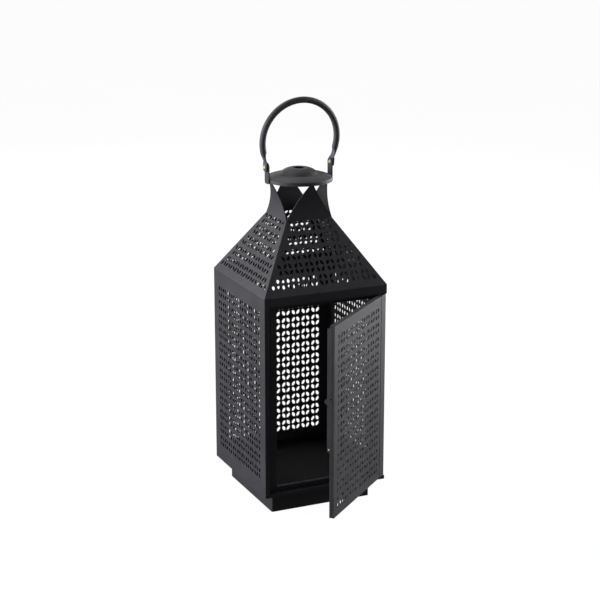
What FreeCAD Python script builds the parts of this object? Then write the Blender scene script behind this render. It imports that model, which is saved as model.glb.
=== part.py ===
"""Square metal candle lantern with a perforated body, a hinged door and a swinging bail.

Frame: origin on the floor under the middle of the foot, +Z up, the door side faces -Y,
+X is the door's hinge side. All sizes are millimetres and live in the sheet "sizes".
Each sheet-metal piece is built where it lies; door pieces are built shut and then swung
open about the hinge line, and the bail is built upright and then leant forward.
"""
import FreeCAD
import Part

import math
import os

import Sketcher
from FreeCAD import Placement, Rotation, Vector

DOC = FreeCAD.newDocument("candle_lantern")
SHEET = DOC.addObject("Spreadsheet::Sheet", "sizes")

SIZES = [
    # body
    ("body_width", 160.0), ("body_height", 249.0), ("wall", 1.0), ("edge_round", 0.7),
    # foot
    ("plinth_width", 131.0), ("plinth_height", 25.0), ("plinth_wall", 1.2),
    ("plinth_flange", 14.0), ("plinth_hem", 4.0), ("plinth_corner", 2.0),
    # floor tray
    ("tray_lip", 8.0), ("tray_gap", 0.15), ("rivet_inset", 7.0),
    ("small_rivet", 3.2), ("small_head", 6.0), ("small_head_rise", 1.0),
    # roof and neck
    ("roof_rise", 77.0), ("neck_width", 60.0), ("neck_rise", 42.5), ("tip_width", 5.0),
    ("tip_inset", 2.1), ("petal_lead", -0.6),
    # cap
    ("cap_diameter", 81.6), ("cap_wall", 1.0), ("skirt_height", 4.8), ("cap_rise", 10.4),
    ("skirt_roll", 2.0), ("brim_swell", 0.7), ("shoulder_rise", 3.6),
    ("boss_diameter", 45.0), ("boss_step", 1.5), ("boss_step_rise", 1.3),
    ("crown_diameter", 24.0), ("boss_swell", 0.9), ("vent_diameter", 13.0), ("vent_bevel", 0.6),
    ("ring_width", 15.0), ("ring_wall", 1.2),
    # lugs, bail and its rivets
    ("pivot_rise", 18.5), ("lug_width", 12.0), ("lug_wall", 1.3), ("lug_drop", 1.2),
    ("lug_foot_round", 2.7),
    ("pivot_rivet", 4.0), ("pivot_head", 6.6), ("pivot_head_rise", 1.6),
    ("run_gap", 0.05), ("side_gap", 0.2),
    ("bail_bar", 7.6), ("bail_spread", 4.9), ("bail_centre", 31.5),
    ("eye_wall", 2.4), ("eye_width", 10.0), ("eye_rise", 6.5),
    ("taper_step", 5.0), ("taper_swell", 0.5), ("taper_share", 0.8),
    ("bail_lean", 6.0),
    # door opening and frame
    ("lip_width", 5.2), ("ledge_width", 13.2), ("rebate_depth", 7.0),
    ("door_drop", 11.7), ("door_lift", 4.8), ("ledge_height", 5.5), ("hem_depth", 4.0),
    # door
    ("door_gap", 0.6), ("hinge_margin", 1.2), ("door_depth", 5.8), ("skin_depth", 2.5),
    ("frame_shadow", 0.5), ("stile_width", 13.4), ("stile_groove", 1.4),
    ("stiffener_width", 6.0), ("hinge_inset", 3.0), ("hinge_pin", 2.4),
    ("pin_reach", 5.0), ("pin_head", 3.8), ("washer_wall", 0.4), ("door_angle", 40.8),
    # latch
    ("latch_inset", 14.2), ("latch_depth", 15.4), ("latch_foot", 8.0), ("latch_wall", 0.9),
    ("latch_bottom", 79.5), ("latch_nib", 3.2), ("nib_height", 141.0), ("latch_hole", 3.2),
    ("stud_shank", 1.6), ("stud_head", 3.2), ("stud_rise", 0.8), ("stud_inset", 3.0),
    # perforation
    ("petal_length", 7.1), ("petal_breadth", 3.9), ("petal_tilt", 32.0),
    ("pair_pitch", 13.8), ("pair_gap", 6.3), ("row_pitch", 17.87), ("row_gap", 7.84),
    ("first_row", 22.8), ("top_band", 20.0), ("side_band", 16.0), ("back_row_pitch", 17.3),
    ("door_pair_pitch", 14.7), ("door_pair_gap", 6.7),
    ("door_first_row", 13.0), ("door_top_band", 12.0),
    ("door_hinge_band", 23.3), ("door_free_band", 10.0),
    ("roof_row_pitch", 17.2), ("roof_row_gap", 7.6), ("roof_first_row", 12.0),
    ("hip_margin", 7.4),
]
for row, (alias, value) in enumerate(SIZES, start=1):
    SHEET.set("A%d" % row, alias)
    SHEET.set("B%d" % row, str(value))
    SHEET.setAlias("B%d" % row, alias)
DOC.recompute()

PIECES = []


def size(alias):
    """The value of one named cell of the sheet."""
    return float(getattr(SHEET, alias))


def keep(piece, label):
    """Gives a finished sub-part its name and puts it on the list to be exported."""
    piece.Label = label
    PIECES.append(piece)
    return piece


def keep_shape(shape, label, placement=None):
    """A sub-part whose shape comes from Part functions, moved after its shape is set."""
    piece = DOC.addObject("Part::Feature", label)
    piece.Shape = shape
    if placement is not None:
        piece.Placement = placement.multiply(shape.Placement)
    return keep(piece, label)


# ---------------------------------------------------------------- derived places

HALF = size("body_width") / 2
WALL = size("wall")
BASE = size("plinth_height")
EAVE = BASE + size("body_height")
NECK = EAVE + size("roof_rise")
RIM = NECK + size("neck_rise")
PIVOT = RIM + size("pivot_rise")

DOOR_LEFT = -HALF + size("lip_width") + size("door_gap")
DOOR_RIGHT = HALF - size("hinge_margin")
DOOR_BOTTOM = BASE + size("door_lift")
DOOR_TOP = EAVE - size("door_drop")
HINGE_X = DOOR_RIGHT - size("hinge_inset")
HINGE_Y = -HALF + size("hinge_inset")
REBATE_Y = -HALF + size("rebate_depth")
STILE_LEFT = DOOR_RIGHT - size("stile_width")

DOOR_SWING = Placement(Vector(), Rotation(Vector(0, 0, 1), size("door_angle")),
                       Vector(HINGE_X, HINGE_Y, 0))
BAIL_LEAN = Placement(Vector(), Rotation(Vector(1, 0, 0), size("bail_lean")),
                      Vector(0, 0, PIVOT))


# ---------------------------------------------------------------- shape helpers

def block(low, high):
    """A plain box solid between two corners."""
    return Part.makeBox(high[0] - low[0], high[1] - low[1], high[2] - low[2], Vector(*low))


def join(shapes):
    """One solid from pieces that touch or overlap, with its flat faces merged."""
    return shapes[0].fuse(shapes[1:]).removeSplitter()


def petal_wire(across, up, leans_right):
    """A leaf-shaped hole outline in the XZ plane: two arcs that meet in points."""
    tilt = math.radians(size("petal_tilt")) * (1 if leans_right else -1)
    along = Vector(math.sin(tilt), 0, math.cos(tilt)) * (size("petal_length") / 2)
    side = Vector(math.cos(tilt), 0, -math.sin(tilt)) * (size("petal_breadth") / 2)
    centre = Vector(across, 0, up)
    top, foot = centre + along, centre - along
    right = Part.Arc(foot, centre + side, top).toShape()
    left = Part.Arc(top, centre - side, foot).toShape()
    return Part.Wire([right, left])


def petal_columns(pairs, pitch, gap):
    """Hole columns as (place, is right half of its pair), with pairs centred on zero."""
    columns = []
    for index in range(pairs):
        middle = (index - (pairs - 1) / 2) * pitch
        columns.append((middle - gap / 2, False))
        columns.append((middle + gap / 2, True))
    return columns


def petal_rows(pairs, pitch, gap, first):
    """Hole rows as (height, is upper half of its pair), counted up from the first."""
    rows = []
    for index in range(pairs):
        rows.append((first + index * pitch, False))
        rows.append((first + index * pitch + gap, True))
    return rows


def perforated_sheet(outline, columns, rows, thickness, fits):
    """A flat sheet in the XZ plane, outer face at Y=0 and body behind it, with petals.

    Four petals make each diamond: the upper two lean together, the lower two apart.
    """
    wires = [Part.makePolygon([Vector(x, 0, z) for x, z in outline + outline[:1]])]
    for height, upper in rows:
        for place, right_half in columns:
            if fits(place, height):
                wires.append(petal_wire(place, height, upper != right_half))
    face = Part.makeFace(wires, "Part::FaceMakerBullseye")
    return face.extrude(Vector(0, thickness, 0))


def round_edges(solid, radius, chosen):
    """Fillets the straight edges whose middle point the given test accepts."""
    edges = [edge for edge in solid.Edges if len(edge.Vertexes) == 2 and chosen(edge)]
    return solid.makeFillet(radius, edges)


def upright_corner(places, tolerance=0.01):
    """A test for vertical edges that stand at one of the given (x, y) places."""
    def test(edge):
        start, end = edge.Vertexes[0].Point, edge.Vertexes[1].Point
        vertical = abs(start.x - end.x) < tolerance and abs(start.y - end.y) < tolerance
        return vertical and any(math.hypot(start.x - x, start.y - y) < tolerance
                                for x, y in places)
    return test


# ---------------------------------------------------------------- PartDesign helpers

def new_body(label):
    """An empty PartDesign body that becomes one sub-part."""
    body = DOC.addObject("PartDesign::Body", "body_" + label)
    return keep(body, label)


def origin_plane(body, role):
    """One of the body's own origin planes."""
    return next(item for item in body.Origin.OriginFeatures if item.Role == role)


def outline_sketch(body, label, role, points, offset="0"):
    """A closed outline of straight lines whose corners are bound to sheet expressions."""
    sketch = body.newObject("Sketcher::SketchObject", label)
    sketch.AttachmentSupport = (origin_plane(body, role), [""])
    sketch.MapMode = "FlatFace"
    sketch.setExpression("AttachmentOffset.Base.z", offset)
    values = [(evaluate(x), evaluate(y)) for x, y in points]
    count = len(points)
    for index in range(count):
        start, end = values[index], values[(index + 1) % count]
        sketch.addGeometry(Part.LineSegment(Vector(*start, 0), Vector(*end, 0)), False)
    for index in range(count):
        following = (index + 1) % count
        sketch.addConstraint(Sketcher.Constraint("Coincident", index, 2, following, 1))
    for index, (x, y) in enumerate(points):
        for kind, expression, value in (("DistanceX", x, values[index][0]),
                                        ("DistanceY", y, values[index][1])):
            number = sketch.addConstraint(Sketcher.Constraint(kind, -1, 1, index, 1, value))
            sketch.setExpression("Constraints[%d]" % number, expression)
    return sketch


def evaluate(expression):
    """The present value of a sheet expression, in millimetres."""
    value = SHEET.evalExpression(expression)
    return float(getattr(value, "Value", value))


def cell(text):
    """Writes the sheet's name before each of its aliases in an expression."""
    words = text.replace("(", " ( ").replace(")", " ) ").split()
    names = {alias for alias, _ in SIZES}
    return " ".join("sizes." + word if word in names else word for word in words)


def revolve(body, sketch):
    """Turns a sketch a full turn about the body's upright axis."""
    turn = body.newObject("PartDesign::Revolution", sketch.Name + "_turn")
    turn.Profile = sketch
    axis = next(item for item in body.Origin.OriginFeatures if item.Role == "Z_Axis")
    turn.ReferenceAxis = (axis, [""])
    turn.Angle = 360
    return turn


def pad(body, sketch, length):
    """Pads a sketch by a sheet expression."""
    feature = body.newObject("PartDesign::Pad", sketch.Name + "_pad")
    feature.Profile = sketch
    feature.setExpression("Length", length)
    return feature


def turned_piece(label, points, placement=None):
    """A round piece from an outline of (radius, height) expressions."""
    body = new_body(label)
    sketch = outline_sketch(body, "outline_" + label, "XZ_Plane",
                            [(cell(r), cell(z)) for r, z in points])
    revolve(body, sketch)
    if placement is not None:
        body.Placement = placement
    return body


def centred_square(half):
    """The corners of a square about the origin, as expressions."""
    return [(cell("0 - ( %s )" % half), cell("0 - ( %s )" % half)),
            (cell(half), cell("0 - ( %s )" % half)),
            (cell(half), cell(half)),
            (cell("0 - ( %s )" % half), cell(half))]


# ---------------------------------------------------------------- foot and floor

def make_plinth():
    """The inset foot: four skirts, with a flange under the floor and a hem at the ground."""
    body = new_body("plinth_skirt")
    outer = outline_sketch(body, "plinth_outer", "XY_Plane", centred_square("plinth_width / 2"))
    blank = pad(body, outer, cell("plinth_height"))
    DOC.recompute()
    corner = size("plinth_width") / 2
    test = upright_corner([(x, y) for x in (-corner, corner) for y in (-corner, corner)])
    edges = ["Edge%d" % number for number, edge in enumerate(blank.Shape.Edges, start=1)
             if test(edge)]
    fillet = body.newObject("PartDesign::Fillet", "plinth_fold")
    fillet.Base = (blank, edges)
    fillet.setExpression("Radius", cell("plinth_corner"))
    body.Tip = fillet
    DOC.recompute()
    cuts = [("plinth_throat", "plinth_width / 2 - plinth_flange", "0 - 1", "plinth_height + 2"),
            ("plinth_hollow", "plinth_width / 2 - plinth_wall", "plinth_wall",
             "plinth_height - 2 * plinth_wall"),
            ("plinth_mouth", "plinth_width / 2 - plinth_hem", "0 - 1", "plinth_wall + 2")]
    for label, half, start, depth in cuts:
        before = body.Shape.Volume
        sketch = outline_sketch(body, label, "XY_Plane", centred_square(half), cell(start))
        pocket = body.newObject("PartDesign::Pocket", label + "_cut")
        pocket.Profile = sketch
        pocket.setExpression("Length", cell(depth))
        pocket.Reversed = True
        DOC.recompute()
        if body.Shape.Volume >= before:
            raise RuntimeError(label + " cuts nothing")
    return body


def floor_rivet_places():
    """Four places on the plinth's flange, near the middle of each side."""
    reach = size("plinth_width") / 2 - size("rivet_inset")
    return [(reach, 0), (0, reach), (-reach, 0), (0, -reach)]


def make_floor():
    """The floor tray: a plate with upturned lips against the side and back walls."""
    gap = size("tray_gap")
    low, high = -HALF + WALL + gap, HALF - WALL - gap
    front = REBATE_Y + WALL + size("hem_depth") + gap
    lip = size("tray_lip")
    plate = block((low, front, BASE), (high, high, BASE + WALL))
    lips = [block((low, front, BASE), (low + WALL, high, BASE + lip)),
            block((high - WALL, front, BASE), (high, high, BASE + lip)),
            block((low, high - WALL, BASE), (high, high, BASE + lip))]
    tray = join([plate] + lips)
    for x, y in floor_rivet_places():
        tray = tray.cut(Part.makeCylinder(size("small_rivet") / 2, 3 * WALL,
                                          Vector(x, y, BASE - WALL)))
    return keep_shape(tray, "floor_tray")


def rivet(shank, head, rise, grip):
    """A domed rivet along +Z: its head on z=0 pointing down, its tail above the grip."""
    crown = (head * head / 4 + rise * rise) / (2 * rise)
    dome = Part.makeSphere(crown).common(
        Part.makeCylinder(head / 2, rise, Vector(0, 0, crown - rise)))
    dome.translate(Vector(0, 0, rise - crown))
    tail = dome.copy()
    tail.translate(Vector(0, 0, grip))
    dome.rotate(Vector(), Vector(1, 0, 0), 180)
    return join([dome, Part.makeCylinder(shank / 2, grip), tail])


def make_floor_rivets():
    """Four blind rivets that hold the floor tray on the foot."""
    grip = WALL + size("plinth_wall")
    group = []
    for x, y in floor_rivet_places():
        piece = rivet(size("small_rivet"), size("small_head"), size("small_head_rise"), grip)
        piece.translate(Vector(x, y, BASE - size("plinth_wall")))
        group.append(piece)
    return keep_shape(Part.makeCompound(group), "floor_rivets")


def drill_plinth(plinth):
    """Rivet holes through the foot's flange, as a boolean on the finished body."""
    holes = [Part.makeCylinder(size("small_rivet") / 2, 3 * size("plinth_wall"),
                               Vector(x, y, BASE - 2 * size("plinth_wall")))
             for x, y in floor_rivet_places()]
    tool = DOC.addObject("Part::Feature", "flange_drills")
    tool.Shape = Part.makeCompound(holes)
    cut = DOC.addObject("Part::Cut", "drilled_plinth")
    cut.Base = plinth
    cut.Tool = tool
    PIECES.remove(plinth)
    plinth.Label = "plinth_blank"
    return keep(cut, "plinth_skirt")


# ---------------------------------------------------------------- body walls

def wall_columns():
    """Hole columns centred on a wall, from a left half to a left half."""
    pitch, gap = size("pair_pitch"), size("pair_gap")
    spans = int(2 * (HALF - size("side_band")) / pitch)
    columns = petal_columns(spans + 1, pitch, gap)
    return [(place + gap / 2, right) for place, right in columns[:-1]]


def wall_rows(pitch):
    """Hole rows up a wall at the given pitch, as many pairs as fit between its bands."""
    room = size("body_height") - size("first_row") - size("row_gap") - size("top_band")
    return petal_rows(int(room / pitch) + 1, pitch, size("row_gap"), BASE + size("first_row"))


def make_wall(half_width, turn, has_folds, pitch):
    """A perforated wall at the body's outer face, turned about Z to its own side."""
    outline = [(-half_width, BASE), (half_width, BASE), (half_width, EAVE), (-half_width, EAVE)]
    sheet = perforated_sheet(outline, wall_columns(), wall_rows(pitch), WALL, lambda x, z: True)
    if has_folds:
        ends = [(-half_width, 0.0), (half_width, 0.0)]
        sheet = round_edges(sheet, size("edge_round"), upright_corner(ends))
    sheet.translate(Vector(0, -HALF, 0))
    sheet.rotate(Vector(), Vector(0, 0, 1), turn)
    return sheet


def make_walls():
    """The two side walls and the back wall between them."""
    keep_shape(make_wall(HALF, -90, True, size("row_pitch")), "side_panel_left")
    keep_shape(make_wall(HALF - WALL, 180, False, size("back_row_pitch")), "back_panel")
    right = make_wall(HALF, 90, True, size("row_pitch"))
    notch = block((HALF - 2 * WALL, -HALF - WALL, DOOR_BOTTOM - size("door_gap")),
                  (HALF + WALL, REBATE_Y, DOOR_TOP + size("door_gap")))
    keep_shape(right.cut(notch), "side_panel_right")


# ---------------------------------------------------------------- door frame

def make_post_left():
    """The left post: a flush lip, a step back for the door, a ledge and a folded hem."""
    lip_end = -HALF + size("lip_width")
    ledge_end = lip_end + size("ledge_width")
    low, high = DOOR_BOTTOM - size("door_gap"), DOOR_TOP + size("door_gap")
    hem = REBATE_Y + WALL + size("hem_depth")
    parts = [block((-HALF + WALL, -HALF, low), (lip_end, -HALF + WALL, high)),
             block((lip_end - WALL, -HALF, low), (lip_end, REBATE_Y + WALL, high)),
             block((lip_end - WALL, REBATE_Y, low), (ledge_end, REBATE_Y + WALL, high)),
             block((ledge_end - WALL, REBATE_Y, low), (ledge_end, hem, high))]
    post = join(parts)
    bends = upright_corner([(lip_end, -HALF), (ledge_end, REBATE_Y)])
    return keep_shape(round_edges(post, size("edge_round"), bends), "front_post_left")


def make_post_right():
    """The right post: a ledge behind the door's hinge edge, with a folded hem."""
    ledge_start = HALF - size("lip_width") - size("ledge_width")
    low, high = DOOR_BOTTOM - size("door_gap"), DOOR_TOP + size("door_gap")
    hem = REBATE_Y + WALL + size("hem_depth")
    parts = [block((ledge_start, REBATE_Y, low), (HALF - WALL, REBATE_Y + WALL, high)),
             block((ledge_start, REBATE_Y, low), (ledge_start + WALL, hem, high))]
    post = join(parts)
    bends = upright_corner([(ledge_start, REBATE_Y)])
    return keep_shape(round_edges(post, size("edge_round"), bends), "front_post_right")


def cross_rail(outer, step, ledge, hem_sign):
    """A rail across the front: flush face, step, ledge and hem, given by three heights.

    outer is the rail's edge at the body's end, step the height of the door's rebate and
    ledge the height where the opening starts; hem_sign points away from the opening.
    """
    left, right = -HALF + WALL, HALF - WALL
    hem = REBATE_Y + WALL + size("hem_depth")

    def bar(y_low, y_high, z_one, z_two):
        return block((left, y_low, min(z_one, z_two)), (right, y_high, max(z_one, z_two)))

    parts = [bar(-HALF, -HALF + WALL, outer, step),
             bar(-HALF, REBATE_Y + WALL, step, step + hem_sign * WALL),
             bar(REBATE_Y, REBATE_Y + WALL, step + hem_sign * WALL, ledge),
             bar(REBATE_Y, hem, ledge, ledge + hem_sign * WALL)]
    rail = join(parts)
    hole = Part.makeCylinder(size("hinge_pin") / 2, 4 * WALL,
                             Vector(HINGE_X, HINGE_Y, step - 2 * WALL))
    return rail.cut(hole)


def trim_rail_for_posts(rail, low, high):
    """Takes the ledge away beside the opening, where the posts carry it."""
    left = -HALF + size("lip_width") + size("ledge_width")
    right = HALF - size("lip_width") - size("ledge_width")
    beside = [block((-HALF, REBATE_Y - WALL / 2 - size("rebate_depth"), low),
                    (left, 0, high)),
              block((right, REBATE_Y - WALL / 2 - size("rebate_depth"), low),
                    (HALF, 0, high))]
    return rail.cut(beside)


def make_rails():
    """The header above the door and the sill below it."""
    gap = size("door_gap")
    header_step = DOOR_TOP + gap
    header_ledge = DOOR_TOP - size("ledge_height")
    header = cross_rail(EAVE, header_step, header_ledge, 1)
    keep_shape(trim_rail_for_posts(header, header_ledge - WALL, header_step), "door_header")
    sill_step = DOOR_BOTTOM - gap
    sill_ledge = DOOR_BOTTOM + size("ledge_height")
    sill = cross_rail(BASE, sill_step, sill_ledge, -1)
    keep_shape(trim_rail_for_posts(sill, sill_step, sill_ledge + WALL), "door_sill")


# ---------------------------------------------------------------- roof and neck

def petal_profile(start, lift, flare, thickness):
    """The neck petal's section in the YZ plane: an arc that leaves nearly upright and flares.

    It overshoots at both ends, so that the petal can be cut off level at neck and rim.
    """
    chord = math.atan2(flare, lift)
    lead = chord * size("petal_lead")
    end = 2 * chord - lead
    radius = lift / (math.sin(end) - math.sin(lead))
    centre = Vector(0, -start - radius * math.cos(lead), NECK - radius * math.sin(lead))
    over = 2 * thickness / radius
    inner = radius + thickness
    angles = (lead - over, (lead + end) / 2, end + over)

    def point(distance, angle):
        return centre + Vector(0, math.cos(angle), math.sin(angle)) * distance

    edges = [Part.Arc(*[point(radius, angle) for angle in angles]).toShape(),
             Part.makeLine(point(radius, angles[2]), point(inner, angles[2])),
             Part.Arc(*[point(inner, angle) for angle in reversed(angles)]).toShape(),
             Part.makeLine(point(inner, angles[0]), point(radius, angles[0]))]
    return Part.Face(Part.Wire(edges))


def make_roof_sheet():
    """One roof face with its neck petal, on the front side."""
    half_neck = size("neck_width") / 2
    run = HALF - half_neck
    slant = math.hypot(run, size("roof_rise"))
    slope = math.degrees(math.atan2(run, size("roof_rise")))
    rows = petal_rows(int(slant / size("roof_row_pitch")), size("roof_row_pitch"),
                      size("roof_row_gap"), size("roof_first_row"))
    pairs = 2 * int(HALF / size("pair_pitch")) + 1
    over = slant + 2 * WALL
    outline = [(-HALF, 0), (HALF, 0), (half_neck, slant), (half_neck, over),
               (-half_neck, over), (-half_neck, slant)]

    def fits(place, height):
        half_width = HALF - run * height / slant
        top = slant - size("petal_length") * math.cos(math.radians(size("petal_tilt"))) / 2
        return abs(place) + size("hip_margin") <= half_width and height < top

    columns = petal_columns(pairs, size("pair_pitch"), size("pair_gap"))
    sheet = perforated_sheet(outline, columns, rows, WALL, fits)
    sheet.rotate(Vector(), Vector(1, 0, 0), -slope)
    sheet.translate(Vector(0, -HALF, EAVE))

    tip_out = size("cap_diameter") / 2 - size("cap_wall") - size("tip_inset")
    section = petal_profile(half_neck, size("neck_rise"), tip_out - half_neck, WALL)
    section.translate(Vector(-half_neck, 0, 0))
    strip = section.extrude(Vector(2 * half_neck, 0, 0))
    half_tip = size("tip_width") / 2
    corners = [(-half_neck, NECK), (half_neck, NECK), (half_tip, RIM), (-half_tip, RIM)]
    wire = Part.makePolygon([Vector(x, -HALF, z) for x, z in corners + corners[:1]])
    petal = strip.common(Part.Face(wire).extrude(Vector(0, HALF, 0)))

    reach = 2 * HALF
    wedge_corners = [(0, 0), (-reach, -reach), (reach, -reach), (0, 0)]
    wedge_wire = Part.makePolygon([Vector(x, y, EAVE) for x, y in wedge_corners])
    wedge = Part.Face(wedge_wire).extrude(Vector(0, 0, RIM - EAVE))
    face_room = block((-HALF, -HALF, EAVE), (HALF, 0, NECK))
    return join([sheet.common(face_room).common(wedge), petal.common(wedge)])


def make_roof():
    """Four equal roof sheets that meet along the hips."""
    sheet = make_roof_sheet()
    for label, turn in (("roof_front", 0), ("roof_right", 90), ("roof_back", 180),
                        ("roof_left", 270)):
        keep_shape(sheet.copy(), label, Placement(Vector(), Rotation(Vector(0, 0, 1), turn)))


# ---------------------------------------------------------------- cap

def cap_path(inset):
    """The cap's section from the skirt's foot to the vent, moved in by inset, as edges."""
    radius = size("cap_diameter") / 2 - inset
    top = RIM + size("skirt_height") - inset
    roll = size("skirt_roll") - inset
    bend = roll * (1 - math.sqrt(0.5))
    boss = size("boss_diameter") / 2
    step_foot = boss + size("boss_step")
    shoulder = top + size("shoulder_rise")
    step_top = shoulder + size("boss_step_rise")
    crown = top + size("cap_rise")
    crown_edge = size("crown_diameter") / 2
    brim_middle = ((radius + boss) / 2, (top + shoulder) / 2 + size("brim_swell"))
    boss_middle = ((boss + crown_edge) / 2, (step_top + crown) / 2 + size("boss_swell"))
    vent = size("vent_diameter") / 2 + inset * size("vent_bevel")
    runs = [[(radius, RIM), (radius, top - roll)],
            [(radius, top - roll), (radius - bend, top - bend), (radius - roll, top)],
            [(radius - roll, top), brim_middle, (step_foot, shoulder)],
            [(step_foot, shoulder), (boss, step_top)],
            [(boss, step_top), boss_middle, (crown_edge, crown)],
            [(crown_edge, crown), (vent, crown)]]
    edges = []
    for run in runs:
        spots = [Vector(x, 0, z) for x, z in run]
        edges.append(Part.makeLine(*spots) if len(run) == 2 else Part.Arc(*spots).toShape())
    return edges


def make_cap():
    """The spun cap: rolled skirt, sloping brim, stepped boss and a round vent."""
    outer, inner = cap_path(0), cap_path(size("cap_wall"))
    closing = [Part.makeLine(outer[end].Vertexes[end].Point, inner[end].Vertexes[end].Point)
               for end in (0, -1)]
    wire = Part.Wire(Part.sortEdges(outer + inner + closing)[0])
    shell = Part.Face(wire).revolve(Vector(), Vector(0, 0, 1), 360)
    return keep_shape(shell, "cap_dome")


def make_cap_ring():
    """The flat ring inside the skirt that the petal tips are welded to."""
    points = [("cap_diameter / 2 - cap_wall - ring_width", "0"),
              ("cap_diameter / 2 - cap_wall", "0"),
              ("cap_diameter / 2 - cap_wall", "ring_wall"),
              ("cap_diameter / 2 - cap_wall - ring_width", "ring_wall")]
    return turned_piece("cap_ring", points, Placement(Vector(0, 0, RIM), Rotation()))


# ---------------------------------------------------------------- lugs and bail

LUG_INNER = size("cap_diameter") / 2
LUG_OUTER = LUG_INNER + size("lug_wall")
EYE_INNER = LUG_OUTER + size("side_gap")
EYE_OUTER = EYE_INNER + size("eye_wall")
EYE_MIDDLE = (EYE_INNER + EYE_OUTER) / 2


def make_lug(label, side):
    """An upright ear on the cap's skirt, rounded about the bail's pivot."""
    half = size("lug_width") / 2
    low = RIM - size("lug_drop")
    plate = block((LUG_INNER, -half, low), (LUG_OUTER, half, PIVOT))
    top = Part.makeCylinder(half, size("lug_wall"), Vector(LUG_INNER, 0, PIVOT), Vector(1, 0, 0))
    hole = Part.makeCylinder(size("pivot_rivet") / 2, 3 * size("lug_wall"),
                             Vector(LUG_INNER - size("lug_wall"), 0, PIVOT), Vector(1, 0, 0))
    lug = join([plate, top]).cut(hole)
    foot_edges = [edge for edge in lug.Edges
                  if abs(edge.CenterOfMass.z - low) < 0.01 and abs(edge.CenterOfMass.y) > half - 0.01]
    lug = lug.makeFillet(size("lug_foot_round"), foot_edges)
    if side < 0:
        lug.rotate(Vector(), Vector(0, 0, 1), 180)
    return keep_shape(lug, label)


def make_pivot(label, side):
    """The rivet that the bail turns on: fast in the lug and loose in the bail's eye."""
    grip = EYE_OUTER + size("side_gap") - LUG_INNER
    piece = rivet(size("pivot_rivet"), size("pivot_head"), size("pivot_head_rise"), grip)
    piece.rotate(Vector(), Vector(0, 1, 0), 90)
    piece.translate(Vector(LUG_INNER, 0, PIVOT))
    if side < 0:
        piece.rotate(Vector(), Vector(0, 0, 1), 180)
    return keep_shape(piece, label)


def make_bail_end(neck, heading):
    """One end of the bail: a flat drilled eye that swells into the round bar."""
    bar = size("bail_bar") / 2
    thick, wide = size("eye_wall") / 2, size("eye_width") / 2
    swell = size("taper_swell")
    foot = Vector(EYE_MIDDLE, 0, size("eye_rise"))
    knee = Vector(EYE_MIDDLE, 0, 0) + heading * (size("eye_rise") + size("taper_step"))
    stations = [ring_wire(foot, thick, wide, Vector(0, 0, 1)),
                ring_wire(knee, thick + swell, wide - swell, heading),
                ring_wire(neck, bar, bar, heading)]
    taper = Part.makeLoft(stations, True, False)
    plate = block((EYE_INNER, -wide, 0), (EYE_OUTER, wide, foot.z))
    across = Vector(1, 0, 0)
    tip = Part.makeCylinder(wide, size("eye_wall"), Vector(EYE_INNER, 0, 0), across)
    hole = Part.makeCylinder(size("pivot_rivet") / 2 + size("run_gap"), 3 * size("eye_wall"),
                             Vector(EYE_INNER - size("eye_wall"), 0, 0), across)
    return join([plate, tip]).fuse(taper).cut(hole)


def make_bail():
    """The bail: a round bar bent to an open loop, with ends hammered flat round the rivets.

    Each leg runs straight from its pivot until it touches the loop's circle.
    """
    bar = size("bail_bar") / 2
    loop = EYE_MIDDLE + size("bail_spread")
    centre_z = size("bail_centre")
    lean = (math.atan2(centre_z, EYE_MIDDLE)
            - math.acos(loop / math.hypot(EYE_MIDDLE, centre_z)))
    touch = Vector(loop * math.cos(lean), 0, centre_z - loop * math.sin(lean))
    leg = touch - Vector(EYE_MIDDLE, 0, 0)
    heading = Vector(leg).normalize()
    neck = Vector(EYE_MIDDLE, 0, 0) + leg * size("taper_share")
    far_touch, far_neck = Vector(-touch.x, 0, touch.z), Vector(-neck.x, 0, neck.z)
    path = Part.Wire([Part.makeLine(neck, touch),
                      Part.Arc(touch, Vector(0, 0, centre_z + loop), far_touch).toShape(),
                      Part.makeLine(far_touch, far_neck)])
    section = Part.Wire(Part.Circle(neck, heading, bar).toShape())
    loop_solid = path.makePipeShell([section], True, True)
    near_end = make_bail_end(neck, heading)
    far_end = near_end.copy()
    far_end.rotate(Vector(), Vector(0, 0, 1), 180)
    bail = loop_solid.fuse([near_end, far_end]).removeSplitter()
    bail.translate(Vector(0, 0, PIVOT))
    return keep_shape(bail, "handle_bail", BAIL_LEAN)


def ring_wire(centre, thick, wide, along):
    """An oval outline in eight arcs, so that every station of the loft matches the next."""
    across = Vector(0, 1, 0)
    other = across.cross(along).normalize()

    def spot(eighths):
        turn = math.pi * eighths / 4
        return centre + other * (thick * math.cos(turn)) + across * (wide * math.sin(turn))

    return Part.Wire([Part.Arc(spot(n), spot(n + 0.5), spot((n + 1) % 8)).toShape()
                      for n in range(8)])


# ---------------------------------------------------------------- door

def swung(shape, label):
    """Keeps a door piece that was built shut, swung open about the hinge line."""
    return keep_shape(shape, label, DOOR_SWING)


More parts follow.
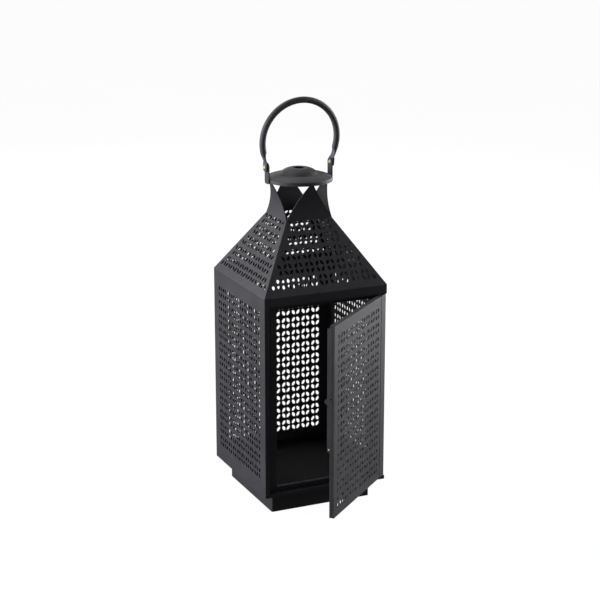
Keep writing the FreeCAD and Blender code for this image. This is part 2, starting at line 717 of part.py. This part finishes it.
def make_door_skin():
    """The door's perforated face with a shallow turned edge on three sides."""
    left, right = DOOR_LEFT, STILE_LEFT - size("stile_groove")
    pitch, gap = size("door_pair_pitch"), size("door_pair_gap")
    last = DOOR_RIGHT - size("door_hinge_band")
    spans = int((last - left - size("door_free_band")) / pitch)
    columns = [(last, True)]
    for index in range(spans):
        columns.append((last - index * pitch - gap, False))
        columns.append((last - (index + 1) * pitch, True))
    first = DOOR_BOTTOM + size("door_first_row")
    room = DOOR_TOP - first - size("row_gap") - size("door_top_band")
    rows = petal_rows(int(room / size("row_pitch")) + 1, size("row_pitch"), size("row_gap"), first)
    outline = [(left, DOOR_BOTTOM), (right, DOOR_BOTTOM), (right, DOOR_TOP), (left, DOOR_TOP)]
    face = perforated_sheet(outline, columns, rows, WALL, lambda x, z: True)
    face.translate(Vector(0, -HALF, 0))
    back = -HALF + size("skin_depth")
    edges = [block((left, -HALF + WALL, DOOR_BOTTOM), (left + WALL, back, DOOR_TOP)),
             block((left, -HALF + WALL, DOOR_TOP - WALL), (right, back, DOOR_TOP)),
             block((left, -HALF + WALL, DOOR_BOTTOM), (right, back, DOOR_BOTTOM + WALL))]
    skin = join([face] + edges)
    return swung(skin, "door_skin")


def make_door_frame():
    """The stiffener behind the skin: three folded channels that close the door's depth."""
    left, right = DOOR_LEFT, STILE_LEFT - size("stile_groove")
    front = -HALF + size("skin_depth") + size("frame_shadow")
    back = -HALF + size("door_depth")
    width = size("stiffener_width")
    low, high = DOOR_BOTTOM, DOOR_TOP
    seat = -HALF + WALL
    bars = [
        # free edge: outer wall, back flange and the flange that meets the skin
        block((left, front, low), (left + WALL, back, high)),
        block((left, back - WALL, low), (left + width, back, high)),
        block((left + WALL, seat, low + WALL), (left + 2 * WALL, back, high - WALL)),
        # top channel
        block((left, front, high - WALL), (right, back, high)),
        block((left, back - WALL, high - width), (right, back, high)),
        block((left + WALL, seat, high - 2 * WALL), (right, back, high - WALL)),
        # bottom channel
        block((left, front, low), (right, back, low + WALL)),
        block((left, back - WALL, low), (right, back, low + width)),
        block((left + WALL, seat, low + WALL), (right, back, low + 2 * WALL)),
    ]
    frame = join(bars)
    hole = Part.makeCylinder(size("latch_hole") / 2, 4 * WALL,
                             Vector(left - WALL, (front + back) / 2,
                                    BASE + size("nib_height") + 3 * size("latch_nib")),
                             Vector(1, 0, 0))
    return swung(frame.cut(hole), "door_frame")


def make_hinge_stile():
    """The closed stile that the door hangs on, with a pivot hole in each end."""
    low, high = DOOR_BOTTOM, DOOR_TOP
    front, back = -HALF, -HALF + size("door_depth")
    shell = block((STILE_LEFT, front, low), (DOOR_RIGHT, back, high))
    inside = block((STILE_LEFT + WALL, front + WALL, low + WALL),
                   (DOOR_RIGHT - WALL, back - WALL, high - WALL))
    stile = shell.cut(inside)
    corners = upright_corner([(DOOR_RIGHT, front), (DOOR_RIGHT, back)])
    stile = round_edges(stile, size("edge_round"), corners)
    for level in (low - WALL, high - 2 * WALL):
        hole = Part.makeCylinder(size("hinge_pin") / 2 + size("run_gap"), 3 * WALL,
                                 Vector(HINGE_X, HINGE_Y, level))
        stile = stile.cut(hole)
    return swung(stile, "door_hinge_stile")


def make_stile_strip():
    """The joining strip behind the groove: skin and frame on one side, stile on the other."""
    seam = STILE_LEFT - size("stile_groove")
    seat = -HALF + WALL
    back = -HALF + size("door_depth")
    reach = size("stiffener_width")
    low, high = DOOR_BOTTOM + 2 * WALL, DOOR_TOP - 2 * WALL
    parts = [block((seam - reach, seat, low), (STILE_LEFT, seat + WALL, high)),
             block((STILE_LEFT - WALL, seat, low), (STILE_LEFT, back - WALL, high))]
    return swung(join(parts), "door_seam_strip")


def make_latch():
    """The springy latch strip: a foot on the skin and a leg that slips behind the ledge."""
    leg = DOOR_LEFT + size("latch_inset")
    seat = -HALF + WALL
    inner = -HALF + size("latch_depth")
    wall = size("latch_wall")
    low, high = BASE + size("latch_bottom"), DOOR_TOP - size("stiffener_width") - 2 * WALL
    foot = block((leg, seat, low), (leg + size("latch_foot"), seat + wall, high))
    upright = block((leg, seat, low), (leg + wall, inner, high))
    nib_z = BASE + size("nib_height")
    nib = Part.makeCylinder(size("latch_nib"), wall, Vector(leg, inner, nib_z), Vector(1, 0, 0))
    strip = join([foot, upright, nib])
    hole = Part.makeCylinder(size("stud_shank") / 2, 4 * wall,
                             Vector(leg - wall, inner - size("stud_inset"),
                                    low + size("stud_inset")), Vector(1, 0, 0))
    return swung(strip.cut(hole), "latch_strip")


def make_latch_stud():
    """The bright stud at the foot of the latch strip."""
    leg = DOOR_LEFT + size("latch_inset")
    inner = -HALF + size("latch_depth")
    low = BASE + size("latch_bottom")
    stud = rivet(size("stud_shank"), size("stud_head"), size("stud_rise"), size("latch_wall"))
    stud.rotate(Vector(), Vector(0, 1, 0), 90)
    stud.translate(Vector(leg, inner - size("stud_inset"), low + size("stud_inset")))
    return swung(stud, "latch_stud")


def make_hinge_pins():
    """The two pins that the door turns on, headed on the frame side."""
    shank, head = size("hinge_pin") / 2, size("pin_head") / 2
    reach = size("pin_reach")
    gap = size("door_gap")
    for label, step, sign in (("hinge_pin_top", DOOR_TOP + gap, 1),
                              ("hinge_pin_bottom", DOOR_BOTTOM - gap, -1)):
        shaft = Part.makeCylinder(shank, reach, Vector(0, 0, WALL - reach))
        cap = Part.makeCylinder(head, WALL, Vector(0, 0, WALL))
        pin = join([shaft, cap])
        if sign < 0:
            pin.rotate(Vector(), Vector(1, 0, 0), 180)
        pin.translate(Vector(HINGE_X, HINGE_Y, step))
        keep_shape(pin, label)
    washer = Part.makeCylinder(head, size("washer_wall"),
                               Vector(HINGE_X, HINGE_Y, DOOR_BOTTOM - gap))
    bore = Part.makeCylinder(shank, size("washer_wall"),
                             Vector(HINGE_X, HINGE_Y, DOOR_BOTTOM - gap))
    keep_shape(washer.cut(bore), "hinge_washer")


# ---------------------------------------------------------------- build and write

def check_document():
    """Stops if an object failed, or a sub-part has no sound shape."""
    for item in DOC.Objects:
        bad = [state for state in item.State if state in ("Invalid", "Error")]
        if bad:
            raise RuntimeError("%s is %s" % (item.Label, bad))
    for piece in PIECES:
        sound = not piece.Shape.isNull() and piece.Shape.isValid() and piece.Shape.Volume > 0
        if not sound or not piece.Shape.Solids:
            raise RuntimeError("%s has no sound shape" % piece.Label)


def main():
    plinth = make_plinth()
    drill_plinth(plinth)
    make_floor()
    make_floor_rivets()
    make_walls()
    make_post_left()
    make_post_right()
    make_rails()
    make_roof()
    make_cap()
    make_cap_ring()
    for name, side in (("left", -1), ("right", 1)):
        make_lug("handle_lug_" + name, side)
        make_pivot("bail_rivet_" + name, side)
    make_bail()
    make_door_skin()
    make_door_frame()
    make_hinge_stile()
    make_stile_strip()
    make_latch()
    make_latch_stud()
    make_hinge_pins()
    DOC.recompute()
    check_document()
    os.makedirs("parts", exist_ok=True)
    for piece in PIECES:
        piece.Shape.exportStep("parts/%s.step" % piece.Label)
        print("%-20s %9.1f mm3  %d solid(s)" % (piece.Label, piece.Shape.Volume,
                                               len(piece.Shape.Solids)))


main()
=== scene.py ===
"""Looks for the candle lantern: finishes, softened edges, floor, light and camera.

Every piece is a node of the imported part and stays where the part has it. Lengths are in
metres, in the part's own frame; the materials count in millimetres of that frame.
"""

import math

import bpy
from mathutils import Matrix, Vector

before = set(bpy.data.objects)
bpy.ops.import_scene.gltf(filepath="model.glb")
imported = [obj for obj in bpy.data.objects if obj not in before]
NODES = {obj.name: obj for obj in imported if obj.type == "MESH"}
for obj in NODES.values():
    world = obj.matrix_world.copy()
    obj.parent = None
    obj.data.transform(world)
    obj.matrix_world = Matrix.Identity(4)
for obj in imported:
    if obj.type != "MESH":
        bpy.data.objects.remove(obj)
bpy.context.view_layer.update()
SCENE = bpy.context.scene
MILLIMETRE = 0.001

PIERCED = ("side_panel_left", "side_panel_right", "back_panel", "door_skin",
           "roof_front", "roof_right", "roof_back", "roof_left")
FOLDED = ("front_post_left", "front_post_right", "door_header", "door_sill", "floor_tray",
          "door_frame", "door_hinge_stile", "door_seam_strip", "latch_strip",
          "handle_lug_left", "handle_lug_right", "cap_ring")
# the floor tray and its rivets take a darker coat than the shell: painted shade for the dim inside
# of the lantern
INSIDE_PAINTED_SHADE_COAT = ("floor_tray", "floor_rivets")
FOOT_COAT = ("plinth_skirt",)
CAP_COAT = ("cap_dome", "handle_lug_left", "handle_lug_right")
SHELL_COAT = PIERCED + tuple(name for name in FOLDED if name not in INSIDE_PAINTED_SHADE_COAT + CAP_COAT)
BAIL_COAT = ("handle_bail",)
BRASS = ("bail_rivet_left", "bail_rivet_right", "latch_stud")
STEEL = ("hinge_pin_top", "hinge_pin_bottom", "hinge_washer")

# reflectances of bare-rubbed and dusty coat, and the two widths of edge in millimetres
WORN_TONE = 0.17
DUST_TONE = 0.21
WORN_EDGE = 0.55
FOLD_RADIUS = 0.18


# ---------------------------------------------------------------- node helpers

class Finish:
    """A material under construction, with short calls for the nodes it is made of."""

    def __init__(self, name):
        self.material = bpy.data.materials.new(name)
        self.material.use_nodes = True
        self.tree = self.material.node_tree
        self.shader = self.tree.nodes["Principled BSDF"]
        places = self.add("ShaderNodeTexCoord")
        self.facing = places.outputs["Normal"]
        scaled = self.add("ShaderNodeVectorMath")
        scaled.operation = "SCALE"
        scaled.inputs["Scale"].default_value = 1 / MILLIMETRE
        self.link(places.outputs["Object"], scaled.inputs[0])
        self.place = scaled.outputs["Vector"]

    def add(self, kind):
        """A new node of that kind."""
        return self.tree.nodes.new(kind)

    def link(self, source, target):
        """Joins an output to an input."""
        self.tree.links.new(source, target)

    def feed(self, value, target):
        """Gives an input either a link or a constant."""
        if isinstance(value, bpy.types.NodeSocket):
            self.link(value, target)
        else:
            target.default_value = value

    def noise(self, size, detail=3.0, rough=0.55, stretch=(1, 1, 1)):
        """Soft noise whose blotches are about that many millimetres across."""
        squeezed = self.add("ShaderNodeVectorMath")
        squeezed.operation = "MULTIPLY"
        squeezed.inputs[1].default_value = stretch
        self.link(self.place, squeezed.inputs[0])
        node = self.add("ShaderNodeTexNoise")
        node.inputs["Scale"].default_value = 1 / size
        node.inputs["Detail"].default_value = detail
        node.inputs["Roughness"].default_value = rough
        self.link(squeezed.outputs["Vector"], node.inputs["Vector"])
        return node.outputs["Fac"]

    def cells(self, size):
        """The distance to the nearest of scattered points that many millimetres apart."""
        node = self.add("ShaderNodeTexVoronoi")
        node.inputs["Scale"].default_value = 1 / size
        self.link(self.place, node.inputs["Vector"])
        return node.outputs["Distance"]

    def calc(self, operation, first, second):
        """One step of arithmetic."""
        node = self.add("ShaderNodeMath")
        node.operation = operation
        self.feed(first, node.inputs[0])
        self.feed(second, node.inputs[1])
        return node.outputs["Value"]

    def ramp(self, value, low, high, start=0.0, end=1.0):
        """A value carried smoothly from the span low..high to start..end."""
        node = self.add("ShaderNodeMapRange")
        node.interpolation_type = "SMOOTHSTEP"
        self.link(value, node.inputs["Value"])
        for label, number in (("From Min", low), ("From Max", high),
                              ("To Min", start), ("To Max", end)):
            node.inputs[label].default_value = number
        return node.outputs["Result"]

    def blend(self, share, first, second):
        """A mix of two colours."""
        node = self.add("ShaderNodeMix")
        node.data_type = "RGBA"
        self.feed(share, node.inputs["Factor"])
        self.feed(first, node.inputs["A"])
        self.feed(second, node.inputs["B"])
        return node.outputs["Result"]

    def edges(self, radius):
        """One along sharp edges and zero on faces, within that radius in millimetres."""
        rounded = self.add("ShaderNodeBevel")
        rounded.samples = 4
        rounded.inputs["Radius"].default_value = radius * MILLIMETRE
        true = self.add("ShaderNodeNewGeometry")
        dot = self.add("ShaderNodeVectorMath")
        dot.operation = "DOT_PRODUCT"
        self.link(rounded.outputs["Normal"], dot.inputs[0])
        self.link(true.outputs["Normal"], dot.inputs[1])
        return self.ramp(dot.outputs["Value"], 0.985, 0.75)

    def upward(self, low=0.35, high=1.0):
        """One on faces that look up and zero on upright ones."""
        parts = self.add("ShaderNodeSeparateXYZ")
        self.link(self.facing, parts.inputs["Vector"])
        return self.ramp(parts.outputs["Z"], low, high)

    def relief(self, heights):
        """Bumps from (height output, depth in millimetres) pairs, chained together."""
        normal = None
        for height, depth in heights:
            node = self.add("ShaderNodeBump")
            node.inputs["Distance"].default_value = depth * MILLIMETRE
            self.link(height, node.inputs["Height"])
            if normal is not None:
                self.link(normal, node.inputs["Normal"])
            normal = node.outputs["Normal"]
        self.link(normal, self.shader.inputs["Normal"])


# ---------------------------------------------------------------- finishes

def grey(value, blue=0.0):
    """An opaque near-neutral colour, with its blue raised by that share."""
    return (value, value, value * (1 + blue), 1.0)


def powder_coat(name, tone, gloss, pebble, wear, dust, shine=0.4, grit=1.0):
    """Fine-textured anthracite powder coat.

    tone is its reflectance, gloss its mean roughness, pebble the size in millimetres of
    its orange peel, wear and dust how strongly edges and ledges are lightened, shine the
    strength of its reflections and grit that of its relief.
    """
    finish = Finish(name)
    clouds = finish.noise(38.0, detail=4.0)
    mottle = finish.noise(3.2, detail=3.0)
    grain = finish.noise(0.34, detail=2.0)
    peel = finish.cells(pebble)

    body = finish.blend(finish.ramp(clouds, 0.3, 0.7), grey(tone * 0.88, 0.22),
                        grey(tone * 1.10, 0.17))
    mottled = finish.blend(finish.ramp(mottle, 0.35, 0.75, 0.0, 0.35), body,
                           grey(tone * 1.35, 0.20))
    speckled = finish.blend(finish.ramp(grain, 0.55, 0.72, 0.0, 0.45), mottled,
                            grey(tone * 1.7, 0.16))
    rubbed = finish.calc("MULTIPLY", finish.edges(WORN_EDGE),
                         finish.ramp(finish.noise(6.0), 0.3, 0.65, 0.25, 1.0))
    worn = finish.blend(finish.calc("MULTIPLY", rubbed, wear), speckled, grey(WORN_TONE, 0.08))
    settled = finish.calc("MULTIPLY", finish.upward(),
                          finish.ramp(finish.noise(14.0, detail=5.0), 0.35, 0.7))
    dusty = finish.blend(finish.calc("MULTIPLY", settled, dust), worn, grey(DUST_TONE, -0.04))
    finish.link(dusty, finish.shader.inputs["Base Color"])

    sheen_map = finish.calc("ADD", finish.ramp(mottle, 0.3, 0.7, gloss - 0.05, gloss + 0.06),
                            finish.ramp(clouds, 0.3, 0.7, -0.03, 0.04))
    rough = finish.calc("SUBTRACT", sheen_map, finish.calc("MULTIPLY", rubbed, 0.12))
    finish.link(rough, finish.shader.inputs["Roughness"])
    finish.shader.inputs["Specular IOR Level"].default_value = shine
    finish.relief([(peel, 0.025 * grit), (grain, 0.012 * grit), (mottle, 0.03 * grit)])
    return finish.material


def brass(name):
    """Dull aged brass with fine turning marks and scattered patches of tarnish."""
    finish = Finish(name)
    tarnish = finish.ramp(finish.noise(1.6, detail=5.0), 0.4, 0.7)
    marks = finish.noise(0.25, detail=2.0, stretch=(0.3, 1.0, 1.0))
    bright = (0.36, 0.31, 0.22, 1.0)
    dull = (0.17, 0.14, 0.10, 1.0)
    colour = finish.blend(finish.calc("MULTIPLY", tarnish, 0.55), bright, dull)
    finish.link(colour, finish.shader.inputs["Base Color"])
    finish.link(finish.ramp(marks, 0.3, 0.7, 0.44, 0.6), finish.shader.inputs["Roughness"])
    finish.shader.inputs["Metallic"].default_value = 0.85
    finish.relief([(marks, 0.02)])
    return finish.material


def plated_steel(name):
    """Zinc-plated steel: cool bright metal with faint spangle and fine scratches."""
    finish = Finish(name)
    spangle = finish.cells(0.9)
    scratches = finish.noise(0.22, detail=3.0, stretch=(1.0, 1.0, 0.12))
    colour = finish.blend(finish.ramp(spangle, 0.1, 0.6), grey(0.42, 0.04), grey(0.58, 0.02))
    finish.link(colour, finish.shader.inputs["Base Color"])
    finish.link(finish.ramp(scratches, 0.3, 0.7, 0.26, 0.46), finish.shader.inputs["Roughness"])
    finish.shader.inputs["Metallic"].default_value = 1.0
    finish.relief([(scratches, 0.015)])
    return finish.material


def paint(names, material):
    """Gives the named nodes one finish, in place of what they were packed with."""
    for name in names:
        mesh = NODES[name].data
        mesh.materials.clear()
        mesh.materials.append(material)


def soften(names, width, angle=35.0):
    """Rounds the sharp edges of folded sheet by a fraction of a millimetre."""
    for name in names:
        bevel = NODES[name].modifiers.new("fold_radius", "BEVEL")
        bevel.width = width * MILLIMETRE
        bevel.segments = 2
        bevel.limit_method = "ANGLE"
        bevel.angle_limit = math.radians(angle)
        bevel.harden_normals = True


def dress():
    """Puts every finish on its nodes."""
    paint(SHELL_COAT, powder_coat("shell_powder_coat", 0.033, 0.50, 0.9, 0.55, 0.08))
    # same powder coat as the shell, with its tone cut to about a third as painted shade for the
    # inside of the lantern
    paint(INSIDE_PAINTED_SHADE_COAT, powder_coat("inside_coat_with_painted_shade", 0.012, 0.78, 1.0, 0.3, 0.0, shine=0.15))
    paint(FOOT_COAT, powder_coat("foot_powder_coat", 0.026, 0.56, 1.1, 0.45, 0.12))
    paint(CAP_COAT, powder_coat("cap_powder_coat", 0.036, 0.60, 0.8, 0.55, 0.10))
    paint(BAIL_COAT, powder_coat("bail_powder_coat", 0.068, 0.60, 0.7, 0.2, 0.05, grit=0.3))
    paint(BRASS, brass("aged_brass"))
    paint(STEEL, plated_steel("zinc_plate"))
    soften(FOLDED, FOLD_RADIUS)


# ---------------------------------------------------------------- surroundings

def add_floor():
    """A wide pale floor."""
    half = 16.0
    mesh = bpy.data.meshes.new("studio_floor")
    corners = [(-half, -half, 0), (half, -half, 0), (half, half, 0), (-half, half, 0)]
    mesh.from_pydata(corners, [], [(0, 1, 2, 3)])
    floor = bpy.data.objects.new("studio_floor", mesh)
    SCENE.collection.objects.link(floor)
    finish = Finish("pale_floor")
    finish.link(finish.blend(finish.ramp(finish.noise(400.0), 0.3, 0.7), grey(0.05), grey(0.07)),
                finish.shader.inputs["Base Color"])
    finish.shader.inputs["Roughness"].default_value = 0.9
    finish.shader.inputs["Specular IOR Level"].default_value = 0.0
    finish.shader.inputs["Emission Color"].default_value = grey(1.0)
    finish.shader.inputs["Emission Strength"].default_value = 0.97
    mesh.materials.append(finish.material)
    floor.visible_diffuse = False
    floor.visible_glossy = False


def add_softbox(name, place, aim, width, height, brightness):
    """A rectangular soft light that looks at a point; brightness is in watts."""
    light = bpy.data.lights.new(name, "AREA")
    light.shape = "RECTANGLE"
    light.size = width
    light.size_y = height
    light.energy = brightness
    lamp = bpy.data.objects.new(name, light)
    lamp.location = place
    lamp.rotation_mode = "QUATERNION"
    lamp.rotation_quaternion = (Vector(aim) - Vector(place)).to_track_quat("-Z", "Y")
    SCENE.collection.objects.link(lamp)


def add_lights():
    """Broad light from both sides and above, with the front left in shade."""
    middle = (0, 0, 0.22)
    # name, place, width, height and watts
    softboxes = (("left_softbox", (-1.5, 0.45, 0.6), 1.5, 1.3, 46),
                 ("right_softbox", (1.6, 0.15, 0.6), 1.5, 1.3, 50),
                 ("top_softbox", (-0.1, 1.1, 1.9), 1.3, 1.3, 12),
                 ("back_softbox", (0.2, 2.2, 0.9), 1.6, 1.0, 5))
    for name, place, width, height, watts in softboxes:
        add_softbox(name, place, middle, width, height, watts)


def add_world():
    """Dim even fill, behind which the camera sees a pale surrounding."""
    world = bpy.data.worlds.new("studio_surround")
    SCENE.world = world
    world.use_nodes = True
    tree = world.node_tree
    fill = tree.nodes["Background"]
    fill.inputs["Color"].default_value = (1, 1, 1, 1)
    fill.inputs["Strength"].default_value = 0.085
    seen = tree.nodes.new("ShaderNodeBackground")
    seen.inputs["Color"].default_value = (1, 1, 1, 1)
    seen.inputs["Strength"].default_value = 1.0
    rays = tree.nodes.new("ShaderNodeLightPath")
    choice = tree.nodes.new("ShaderNodeMixShader")
    tree.links.new(rays.outputs["Is Camera Ray"], choice.inputs["Fac"])
    tree.links.new(fill.outputs["Background"], choice.inputs[1])
    tree.links.new(seen.outputs["Background"], choice.inputs[2])
    tree.links.new(choice.outputs["Shader"], tree.nodes["World Output"].inputs["Surface"])


def add_camera():
    """The camera: a long lens from the front left, a little above, level with the horizon."""
    azimuth, elevation = math.radians(-24.36), math.radians(15.79)
    distance, aside, raised = 2.1139, 0.0014, 0.2343
    back = Vector((math.sin(azimuth) * math.cos(elevation),
                   -math.cos(azimuth) * math.cos(elevation), math.sin(elevation)))
    right = Vector((math.cos(azimuth), math.sin(azimuth), 0))
    up = back.cross(right)
    data = bpy.data.cameras.new("studio_camera")
    data.lens = 100.2
    data.sensor_width = 36.0
    data.clip_start = 0.05
    data.clip_end = 60.0
    camera = bpy.data.objects.new("studio_camera", data)
    turned = Matrix((right, up, back)).transposed().to_4x4()
    camera.matrix_world = Matrix.Translation(back * distance + right * aside + up * raised) @ turned
    SCENE.collection.objects.link(camera)
    SCENE.camera = camera


SCENE.view_settings.view_transform = "Standard"
dress()
add_floor()
add_lights()
add_world()
add_camera()
